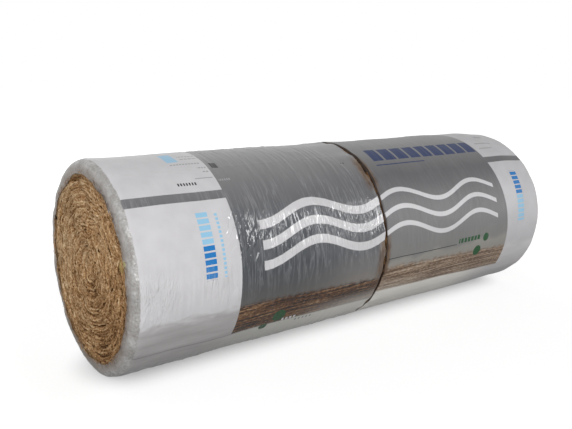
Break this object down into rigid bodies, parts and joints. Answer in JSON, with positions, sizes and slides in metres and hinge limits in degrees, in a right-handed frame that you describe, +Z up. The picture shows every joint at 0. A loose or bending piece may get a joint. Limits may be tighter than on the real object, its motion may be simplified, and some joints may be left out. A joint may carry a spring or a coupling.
{
  "type": "insulation roll",
  "caption": "Lying roll of compressed mineral wool with a spiral end, wrapped in printed plastic film that is folded over both ends and slit all round at mid length.",
  "frame": {"origin": "on the floor under the middle of the roll: the lowest line of the film, half way along", "axes": "+X along the roll's axis towards the right-hand end, +Y to the back, +Z up"},
  "size_m": [1.2, 0.426, 0.426],
  "materials": {
    "wool": "brown fibrous mineral wool",
    "film": "glossy printed film, grey with pale ends"
  },
  "bodies": {
    "root": {"wool_roll": "wool", "film_wrap_left": "film", "film_wrap_right": "film"}
  },
  "joints": []
}
